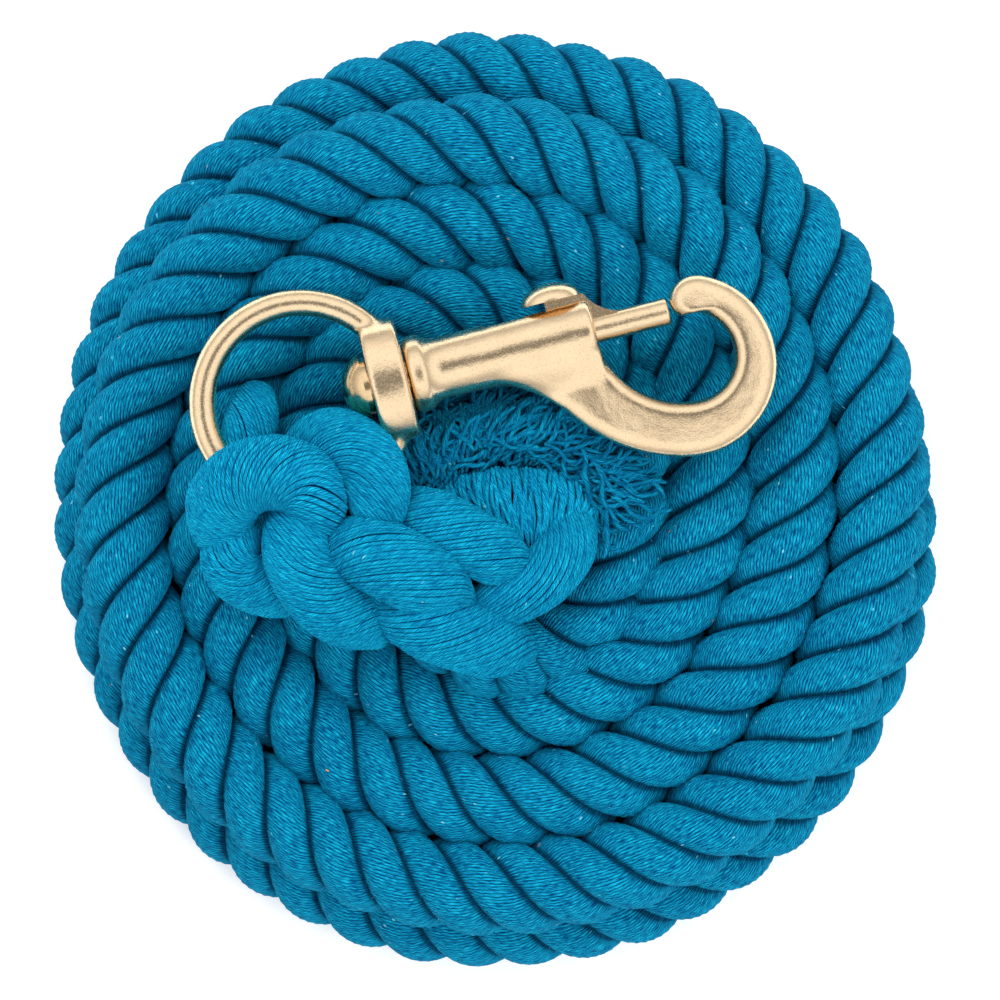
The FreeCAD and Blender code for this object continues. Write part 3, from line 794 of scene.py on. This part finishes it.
BUNDLES = {
    # name: (half width, half height, yarn slant, size at each end, route)
    "crown_strand_over": (6.8, 6.4, 62, (0.5, 0.7), [
        (-45.6, -10.8, 8.0), (-48.0, -5.6, 12.0), (-47.4, 0.8, 15.4), (-42.2, 4.6, 17.0),
        (-35.2, 4.4, 17.4), (-30.9, 0.0, 16.6), (-31.6, -6.0, 12.0)]),
    "crown_strand_left": (6.0, 5.8, 55, (0.55, 0.5), [
        (-42.8, -3.8, 12.5), (-46.8, -8.6, 12.6), (-44.6, -13.4, 10.8), (-38.0, -15.6, 8.0),
        (-31.0, -16.0, 4.5)]),
    "crown_strand_front": (6.3, 5.8, 48, (0.66, 0.45), [
        (-35.4, -0.8, 12.5), (-35.4, -7.2, 16.6), (-33.4, -13.8, 15.4), (-28.0, -20.0, 12.0),
        (-19.0, -24.0, 7.0)]),
    "eye_bight": (5.0, 4.8, 45, (0.6, 0.6), [
        (-43.6, 0.0, 3.0), (-44.0, 7.6, 7.4), (-43.0, 13.0, 7.6), (-41.8, 19.0, 1.0)]),
    "tuck_strand_ring": (6.2, 5.6, 40, (0.5, 0.6), [
        (-36.0, 7.4, 6.0), (-30.0, 10.8, 11.8), (-23.6, 8.8, 14.8), (-19.8, 2.6, 15.8),
        (-20.4, -6.0, 12.0)]),
    "tuck_strand_top": (7.0, 5.8, 38, (0.6, 0.42), [
        (-29.6, -8.8, 12.0), (-24.6, -8.4, 15.4), (-17.4, -11.2, 16.0), (-10.6, -15.4, 12.6),
        (-5.0, -20.0, 7.0)]),
    "tuck_strand_inner": (5.9, 5.2, 42, (0.5, 0.42), [
        (-18.6, -0.6, 7.0), (-13.4, -2.6, 10.8), (-5.6, -6.4, 11.4), (1.6, -10.6, 8.6),
        (6.0, -14.6, 4.0)]),
    "tuck_strand_outer": (6.6, 5.8, 42, (0.5, 0.5), [
        (-20.6, -17.6, 9.0), (-15.0, -20.6, 11.4), (-7.2, -23.6, 9.6), (0.4, -25.6, 5.0),
        (6.0, -27.4, 0.0)]),
    "tuck_strand_tail": (5.6, 5.0, 20, (0.5, 0.42), [
        (13.8, 0.4, 0.5), (14.2, -6.0, 3.4), (10.8, -12.4, 5.6), (4.2, -17.0, 6.8),
        (-5.4, -19.8, 5.0)]),
}
for strand_name, (wide, tall, slant, blunt, route) in BUNDLES.items():
    strand = yarn_bundle(strand_name + "_yarns", above(route), wide * MM, tall * MM, slant, blunt)
    rope_piece(strand, strand_name)

# %% [markdown]
# Under the tucks runs the rope itself, still laid up, as far as the crown. It is wound like the
# coil, only a little thinner, because its strands give up yarns to the tucks.

# %% Splice core
CORE_POINTS = above([(9.1, -27.2, -6.0), (2.5, -28.4, -3.6), (-3.5, -26.4, -0.6), (-12.0, -20.6, 3.4),
                     (-22.0, -14.2, 6.4), (-31.0, -9.6, 7.4), (-39.0, -5.6, 7.6)])
core_line = smooth_line("core_route", CORE_POINTS)
rope_piece(rope_strands("splice_core_rope", core_line, scale=0.94, start_turn=0.6), "splice_core")

# %% [markdown]
# The last strand is left long, combed out and trimmed: a fan of straight yarns, then a brush of
# cut ends under the snap. Loose yarns are drawn through a few points that are rounded off by
# cutting the corners three times. None may lie where the snap turns, so they are pushed out of it.

# %% Loose yarns
AXIS_Z = 41.5 * MM               # height of the snap's axis
SNAP_DIR = Vector((math.cos(math.radians(14)), math.sin(math.radians(14)), 0))
SNAP_AT = Vector((-18.4 * MM, 20.8 * MM, AXIS_Z))
KEEP_OFF = 0.0112                # the snap turns over in this radius round its axis
LUMP_RINGS, LUMP_SIDES = 12, 24


def curved_yarn(verts, faces, uvs, line, radius, root=1.0):
    """One loose yarn through a few points; root is its share of full thickness at the start."""
    for _ in range(3):
        finer = [line[0]]
        for a, b in zip(line, line[1:]):
            finer += [a.lerp(b, 0.25), a.lerp(b, 0.75)]
        line = finer + [line[-1]]
    line = even_line(line, 0.0008)
    last = len(line) - 1
    if last > 2:
        radii = [radius * (root + (1 - root) * min(1.0, 1.6 * i / last)) for i in range(last + 1)]
        tube_rings(verts, faces, uvs, line, radii, rng.uniform(0, 5))


def under_snap(point):
    """Push a point out of the space that the snap turns in, straight away from its axis."""
    rel = point - SNAP_AT
    off = rel - SNAP_DIR * rel.dot(SNAP_DIR)
    if rel.dot(SNAP_DIR) > -0.001 and off.length < KEEP_OFF:
        point = point + off.normalized() * (KEEP_OFF - off.length)
    return point


def ellipsoid(verts, faces, uvs, centre, half):
    """A closed lump of painted shade that fills the middle of the loose yarns."""
    base = len(verts)
    for i in range(1, LUMP_RINGS):
        a = math.pi * i / LUMP_RINGS
        for k in range(LUMP_SIDES):
            b = math.tau * k / LUMP_SIDES
            verts.append(Vector((centre[0] + half[0] * math.sin(a) * math.cos(b),
                                 centre[1] + half[1] * math.sin(a) * math.sin(b),
                                 centre[2] + half[2] * math.cos(a))) * MM)
    top = len(verts)
    verts += [Vector((centre[0], centre[1], centre[2] + half[2])) * MM,
              Vector((centre[0], centre[1], centre[2] - half[2])) * MM]
    lowest = base + (LUMP_RINGS - 2) * LUMP_SIDES
    for i in range(LUMP_RINGS - 2):
        for k in range(LUMP_SIDES):
            a, b = base + i * LUMP_SIDES + k, base + i * LUMP_SIDES + (k + 1) % LUMP_SIDES
            faces.append((a, a + LUMP_SIDES, b + LUMP_SIDES, b))
    for k in range(LUMP_SIDES):
        k2 = (k + 1) % LUMP_SIDES
        faces.append((top, base + k, base + k2))
        faces.append((top + 1, lowest + k2, lowest + k))
    uvs += [(0, 0)] * (LUMP_SIDES * (4 * (LUMP_RINGS - 2) + 6))


def loose_piece(name, node, lumps, draw, material):
    """A piece of loose yarns over lumps of painted shade; draw adds its yarns."""
    verts, faces, uvs = [], [], []
    for centre, half in lumps:
        ellipsoid(verts, faces, uvs, centre, half)
    core_count = len(faces)
    draw(verts, faces, uvs)
    piece = mesh_object(name, verts, faces, uvs, material)
    paint_core_shade(piece, core_count)
    rope_piece(piece, node)


# %% [markdown]
# The fan is three layers of combed yarns. They start close together at its root, spread like the
# ribs of a shell over a low hump, and go under the snap.

# %% Combed fan
# All in millimetres, apart from the shares.
FAN_MIDDLE = 3.4                 # of its far edge, from left to right
FAN_HALF = 14.8                  # half of its width there
FAN_LEAN = 3.0                   # how far its root lies to the right of that middle
FAN_ROOT = -10.6
FAN_LONG = 16.4
FAN_BASE = 30.0                  # height of its lowest yarns
FAN_RISE = 7.8
FAN_LAYERS = ((44, 0.0), (43, -0.55), (34, -1.3))   # yarns in each, and how deep it lies
FAN_POINTS = 13


def fan_point(across, along, lift):
    """A point on the fan: across from -1 at its left to 1, along from 0 at its root to 1."""
    spread = 0.30 + 0.70 * math.sin(min(1.0, along * 1.2) * math.pi / 2)
    x = FAN_MIDDLE + across * FAN_HALF * spread + (1 - along) * FAN_LEAN
    y = FAN_ROOT + along * (FAN_LONG - 4.5 * across * across) + 1.5 * across * across
    bulge = math.sin(min(1.0, 0.15 + along * 0.72) * math.pi) ** 0.6
    z = FAN_BASE + FAN_RISE * bulge * math.sqrt(max(0.0, 1 - 0.78 * across * across)) + lift
    return Vector((x, y, z)) * MM


def draw_tuft(verts, faces, uvs):
    """The yarns of the fan, layer under layer."""
    for yarns, depth in FAN_LAYERS:
        for y in range(yarns):
            across = -1 + 2 * (y + 0.5 + rng.uniform(-0.2, 0.2)) / yarns
            wave = rng.uniform(0, math.tau)
            points = []
            for i in range(FAN_POINTS):
                along = i / (FAN_POINTS - 1) * rng.uniform(0.97, 1.0)
                bow = across + 0.05 * math.sin(along * 5 + wave) + 0.10 * (along - 0.5)
                points.append(under_snap(fan_point(bow, along, depth + rng.uniform(-0.10, 0.10))))
            curved_yarn(verts, faces, uvs, points, YARN_R * 0.95, 0.5)


loose_piece("tail_tuft_yarns", "tail_tuft",
            [((3.8, -1.8, 30.0), (13.4, 7.8, 6.0)), ((-1.0, -13.5, 30.0), (9.0, 6.5, 5.5))],
            draw_tuft, lit_yarn_cotton)

# %% [markdown]
# Beyond the fan the yarns were cut. A combed and cut end mats into a brush: the ends leave the fan
# outwards, all swept round the same way, and each one curls a little at its tip. A second, lower
# batch fills the hollow between the brush and the coil.

# %% Cut brush
BRUSH_MIDDLE = (3.6, -6.6)       # millimetres; the ends stand round this spot
TOP_ENDS, LOW_ENDS = 760, 260
TOP_FLOOR, LOW_FLOOR = 29.8, 28.2    # no end goes lower than this
END_STEP = 1.15                  # from point to point of a cut end


def cut_end(verts, faces, uvs, root, heading, low):
    """One cut yarn of the brush: it runs on nearly straight, then curls a little at its tip."""
    at = root.copy()
    points = [at.copy()]
    curl = rng.choice((-1, 1)) * rng.uniform(0.05, 0.30)
    for step in range(rng.randint(6, 9)):
        heading += curl + rng.uniform(-0.16, 0.16)
        if step == 3:
            curl = -curl * rng.uniform(0.8, 2.0)
        ahead = (math.cos(heading) * END_STEP, math.sin(heading) * END_STEP, rng.uniform(-0.45, 0.33))
        at = at + Vector(ahead)
        at.z = max(at.z, low)
        points.append(at.copy())
    curved_yarn(verts, faces, uvs, [under_snap(p * MM) for p in points], YARN_R * rng.uniform(0.85, 1.1))


def draw_brush(verts, faces, uvs):
    """The swept ends of the brush, then the low ones under them."""
    for _ in range(TOP_ENDS):
        share = rng.random()
        swing = math.radians(174 - 158 * rng.random())
        reach = 9.6 + 12.0 * share
        root = Vector((BRUSH_MIDDLE[0] + math.cos(swing) * reach * 1.02,
                       BRUSH_MIDDLE[1] + math.sin(swing) * reach * 0.96,
                       31.0 + 4.8 * math.sin(math.pi * min(1.0, 1.2 - 0.9 * share)) + rng.uniform(-0.9, 0.9)))
        cut_end(verts, faces, uvs, root, swing - 0.75 + rng.gauss(0, 0.42), TOP_FLOOR)
    for _ in range(LOW_ENDS):
        root = Vector((rng.uniform(-16, 12), rng.uniform(8.5, 19.5), rng.uniform(28.4, 30.0)))
        cut_end(verts, faces, uvs, root, 0.4 + rng.gauss(0, 0.6), LOW_FLOOR)


loose_piece("tail_brush_yarns", "tail_brush",
            [((3.6, 7.6, 28.6), (15.6, 8.6, 3.2)), ((-4.0, 13.5, 26.0), (12.5, 8.0, 3.0))],
            draw_brush, shaded_brush_cotton)

# %% [markdown]
# The far end is finished with a crown knot, hidden in the well of the coil: three strands, each
# looped over the next. It shows from below, so it is made the same way as the splice.

# %% End knot
# Angle in degrees, radius and height in millimetres, along one strand: up from the rope, out over
# its neighbour, and down.
KNOT_LOOP = ((0, 3.0, 4.6), (25, 4.6, 12.0), (70, 4.6, 15.6), (120, 5.0, 14.0), (165, 5.4, 8.5),
             (200, 4.4, 4.8))


def knot_points(turn):
    """The loop of one strand of the crown knot, turned to its place."""
    return [(radius * math.cos(math.radians(angle + turn)), radius * math.sin(math.radians(angle + turn)), z)
            for angle, radius, z in KNOT_LOOP]


knot_parts = [yarn_bundle("end_knot_%d" % k, knot_points(120 * k), 4.5 * MM, 4.2 * MM, 40, (0.6, 0.6))
              for k in range(3)]
bm = bmesh.new()
for part in knot_parts:
    bm.from_mesh(part.data)
knot_mesh = knot_parts[0].data.copy()
bm.to_mesh(knot_mesh)
bm.free()
for part in knot_parts:
    bpy.data.objects.remove(part)
end_knot = bpy.data.objects.new("end_knot_yarns", knot_mesh)
bpy.context.scene.collection.objects.link(end_knot)
rope_piece(end_knot, "rope_end_knot")

# %% [markdown]
# The rope is a fixed length of limp cord, with its knot at the far end. It moves with the rope's body, and
# its path is taken at even steps.

# %% Rope declared
rope_piece(rope, "rope_coil")
cord_path = [tuple(p) for p in even_line(rope_line, 0.002)]

# %% [markdown]
# The snap is cast brass, tumbled and lightly polished. Two effects serve every brass part: a fine
# pebbled grain left by the tumbling, and a slow unevenness of the casting that bends reflections.

# %% Brass grain
WAVE_RELIEF = 1.6                # of the slow unevenness, against the grain
SPECKLE = (0.52, 0.72)           # the grain's noise from which a speckle starts, and is full
grain_group, grain_in, grain_out = new_group(
    "tumbled_grain", [("Grain Size", 3200.0), ("Wave Size", 260.0), ("Grain", 0.35)],
    ("Height", "Speckle", "Cloud"))
calc = partial(math_node, grain_group)
metal_spot = add_node(grain_group, "ShaderNodeTexCoord")
pebbles = add_node(grain_group, "ShaderNodeTexNoise")
set_sockets(pebbles, {"Detail": 3.0, "Roughness": 0.6})
waves = add_node(grain_group, "ShaderNodeTexNoise")
set_sockets(waves, {"Detail": 2.0})
for noise, size in ((pebbles, "Grain Size"), (waves, "Wave Size")):
    grain_group.links.new(metal_spot.outputs["Object"], noise.inputs["Vector"])
    grain_group.links.new(grain_in.outputs[size], noise.inputs["Scale"])
grain_group.links.new(calc("ADD", calc("MULTIPLY", pebbles.outputs[0], grain_in.outputs["Grain"]),
                           calc("MULTIPLY", waves.outputs[0], WAVE_RELIEF)), grain_out.inputs["Height"])
speckles = add_node(grain_group, "ShaderNodeMapRange")
set_sockets(speckles, {"From Min": SPECKLE[0], "From Max": SPECKLE[1]})
grain_group.links.new(pebbles.outputs[0], speckles.inputs[0])
grain_group.links.new(speckles.outputs[0], grain_out.inputs["Speckle"])
grain_group.links.new(waves.outputs[0], grain_out.inputs["Cloud"])
print("grain group nodes", len(grain_group.nodes))

# %% [markdown]
# Brass is bare metal, so its colour is the colour of its reflections. The speckles of its
# grain are a little darker and duller. The rivet's brass is redder, and the spring is plain steel.

# %% Metals
def metal(name, bright, dark, rough, bump):
    """Bare metal: two tones, roughness that changes with the grain, and a shallow relief."""
    material = bpy.data.materials.new(name)
    material.use_nodes = True
    tree = material.node_tree
    shader = tree.nodes["Principled BSDF"]
    set_sockets(shader, {"Metallic": 1.0})
    surface = add_node(tree, "ShaderNodeGroup", node_tree=grain_group)
    tone = math_node(tree, "MULTIPLY_ADD", surface.outputs["Cloud"], 0.5,
                     math_node(tree, "MULTIPLY", surface.outputs["Speckle"], 0.55))
    tree.links.new(mix_colour(tree, tone, bright, dark), shader.inputs["Base Color"])
    tree.links.new(math_node(tree, "MULTIPLY_ADD", surface.outputs["Speckle"], 0.16, rough),
                   shader.inputs["Roughness"])
    relief = add_node(tree, "ShaderNodeBump")
    set_sockets(relief, {"Distance": bump})
    tree.links.new(surface.outputs["Height"], relief.inputs["Height"])
    tree.links.new(relief.outputs[0], shader.inputs["Normal"])
    return material


cast_brass = metal("cast_brass", (0.95, 0.75, 0.50, 1), (0.78, 0.55, 0.31, 1), 0.20, 0.00009)
rivet_brass = metal("brass_rivet", (0.90, 0.68, 0.41, 1), (0.70, 0.46, 0.22, 1), 0.16, 0.00006)
spring_steel = metal("spring_steel", (0.62, 0.61, 0.59, 1), (0.40, 0.39, 0.37, 1), 0.28, 0.00003)
for node, material in (("bolt", cast_brass), ("thumb_button", cast_brass), ("swivel_rivet", rivet_brass),
                       ("swivel_washer", rivet_brass), ("bolt_spring", spring_steel)):
    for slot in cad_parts[node].material_slots:
        slot.material = material
    print(node, "gets", material.name)

# %% [markdown]
# Molten metal leaves no sharp inside corners: where the hook runs into the barrel, and the ring into
# its boss, the casting flows together. The designed shapes are copied, remeshed finely, and their
# valleys are filled bit by bit; ridges are hardly touched, and the bores are left alone.

# %% Filled valleys
BORE_KEEP = 0.0034               # nothing is filled this close to the swivel's axis
NORMALS_EVERY = 8                # rounds for which one set of normals serves
ROUGH_ROUNDS = 6                 # first rounds, which also wear down the steps of the remeshing
SLIDE, FILL = 0.3, 0.95          # share of the pull that is taken sideways, and outwards
WEAR, HOLD = 0.5, 0.02           # share taken inwards, in the first rounds and after them


def from_snap(spots):
    """Where points lie from the snap's origin, and how far along its axis."""
    rel = spots - np.array(SNAP_AT)
    return rel, rel @ np.array(SNAP_DIR)


def fill_valleys(mesh, rounds):
    """Pull each point towards its neighbours, outwards in valleys and hardly inwards on ridges."""
    count = len(mesh.vertices)
    spots = np.empty(count * 3)
    mesh.vertices.foreach_get("co", spots)
    spots = spots.reshape(-1, 3)
    pairs = np.empty(len(mesh.edges) * 2, dtype=np.int64)
    mesh.edges.foreach_get("vertices", pairs)
    degree = np.bincount(pairs, minlength=count)[:, None]
    one, two = pairs[0::2], pairs[1::2]
    normals = np.empty(count * 3)
    for step in range(rounds):
        if step % NORMALS_EVERY == 0:
            mesh.vertices.foreach_set("co", spots.ravel())
            mesh.update()
            mesh.vertices.foreach_get("normal", normals)
            out = normals.reshape(-1, 3)
            rel, along = from_snap(spots)
            off = rel - np.outer(along, np.array(SNAP_DIR))
            free = (np.linalg.norm(off, axis=1) > BORE_KEEP)[:, None]
        pull = np.stack([np.bincount(one, spots[two, k], count) + np.bincount(two, spots[one, k], count)
                         for k in range(3)], axis=1) / degree - spots
        rise = (pull * out).sum(1)[:, None]
        slide = pull - out * rise
        inwards = WEAR if step < ROUGH_ROUNDS else HOLD
        spots = spots + free * (slide * SLIDE + out * np.where(rise > 0, rise * FILL, rise * inwards))
    return spots


# %% [markdown]
# A casting also has to leave its mould, so the hook's two faces fall away a little towards its rim.
# The fall grows from the hook's opening outwards, and it fades in beyond the barrel and below it,
# because a sudden start would leave a crease in the polished metal.

# %% Castings
SNAP_SIDE = Vector((-SNAP_DIR.y, SNAP_DIR.x, 0))
EYE_AT = (0.0524, -0.00865)      # middle of the hook's opening, along the snap and across it
EYE_RIM = 0.0086
HOOK_HALF = 0.0042               # half of the hook's thickness, which has the full fall
DRAFT = 0.16                     # how fast the hook's faces fall away
NEAR_RIM, FAR_RIM = 0.009, 0.016     # from the opening outwards, the fall is slower and then ends
AHEAD_FROM, AHEAD_BLEND = 0.0370, 0.0075     # along the snap
BELOW_FROM, BELOW_BLEND = 0.0042, 0.0060     # across it


def fade_in(share):
    """A smooth step from 0 to 1."""
    share = np.clip(share, 0, 1)
    return share * share * (3 - 2 * share)


def draft(spots):
    """Let the hook's faces fall away towards its rim."""
    rel, along = from_snap(spots)
    across = rel @ np.array(SNAP_SIDE)
    beyond = np.clip(np.hypot(along - EYE_AT[0], across - EYE_AT[1]) - EYE_RIM, 0, FAR_RIM)
    fall = DRAFT * np.minimum(beyond, NEAR_RIM) + DRAFT * 0.7 * np.maximum(beyond - NEAR_RIM, 0)
    ahead = fade_in((along - AHEAD_FROM) / AHEAD_BLEND)
    below = fade_in((-across - BELOW_FROM) / BELOW_BLEND)
    spots[:, 2] -= rel[:, 2] * fall / HOOK_HALF * (1 - (1 - ahead) * (1 - below))


def soft_casting(node, voxel, rounds, drafted):
    """The designed part as a casting: valleys filled, and draft on the hook's faces."""
    piece = bpy.data.objects.new(node + "_casting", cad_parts[node].data.copy())
    bpy.context.scene.collection.objects.link(piece)
    remesh = piece.modifiers.new("remesh", "REMESH")
    remesh.mode = "VOXEL"
    remesh.voxel_size = voxel
    bpy.context.view_layer.update()
    mesh = bpy.data.meshes.new_from_object(piece.evaluated_get(bpy.context.evaluated_depsgraph_get()))
    piece.modifiers.clear()
    piece.data = mesh
    spots = fill_valleys(mesh, rounds)
    if drafted:
        draft(spots)
    mesh.vertices.foreach_set("co", spots.ravel())
    mesh.polygons.foreach_set("use_smooth", [True] * len(mesh.polygons))
    mesh.materials.clear()
    mesh.materials.append(cast_brass)
    mesh.update()
    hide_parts(node)
    print(node, "casting,", len(mesh.polygons), "faces")
    return piece


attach(soft_casting("snap_body", 0.00028, 170, True), "snap")
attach(soft_casting("swivel_eye", 0.00026, 90, False), "eye")
